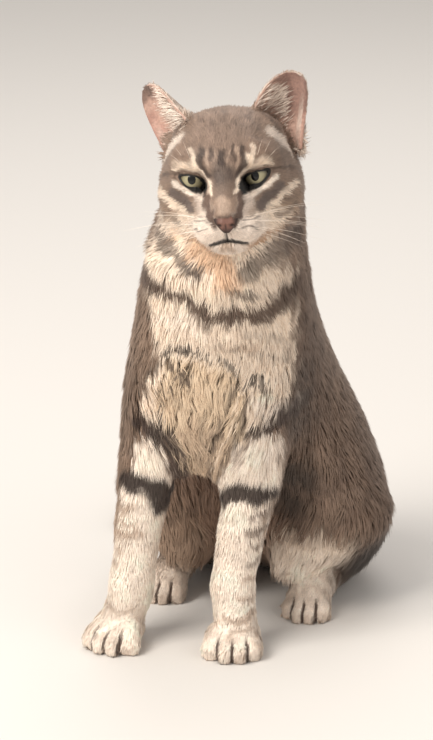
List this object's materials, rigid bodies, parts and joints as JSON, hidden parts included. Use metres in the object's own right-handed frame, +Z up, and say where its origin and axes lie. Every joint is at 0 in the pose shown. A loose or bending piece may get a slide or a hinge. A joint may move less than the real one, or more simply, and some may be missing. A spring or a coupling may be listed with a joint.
{
  "type": "sitting cat figure",
  "caption": "Still life-size model of a short-haired tabby cat, sitting upright with its forelegs straight and its head turned.",
  "frame": {"origin": "on the floor, under the middle of the animal's extent, tail included", "axes": "+Z up; the cat sits facing -Y, with its own left side towards +X"},
  "size_m": [0.2498, 0.355, 0.3908],
  "materials": {
    "coat": "short dense fur, matt, grey-brown with darker tabby bands",
    "pale_coat": "short dense fur, matt, cream white with faint grey bars",
    "nose_leather": "fine pebbled skin, slightly moist",
    "eye": "wet glossy eyeball with a yellow-green iris and a dark upright pupil"
  },
  "bodies": {
    "root": {"head": "coat", "nose": "nose_leather", "eye_left": "eye", "eye_right": "eye", "ear_left": "coat", "ear_right": "coat", "neck": "coat", "trunk": "coat", "tail_base": "coat", "tail_middle": "coat", "tail_tip": "coat", "foreleg_left": "pale_coat", "foreleg_right": "pale_coat", "forepaw_left": "pale_coat", "forepaw_right": "pale_coat", "hindleg_left": "coat", "hindleg_right": "coat", "hindpaw_left": "pale_coat", "hindpaw_right": "pale_coat"}
  },
  "joints": []
}
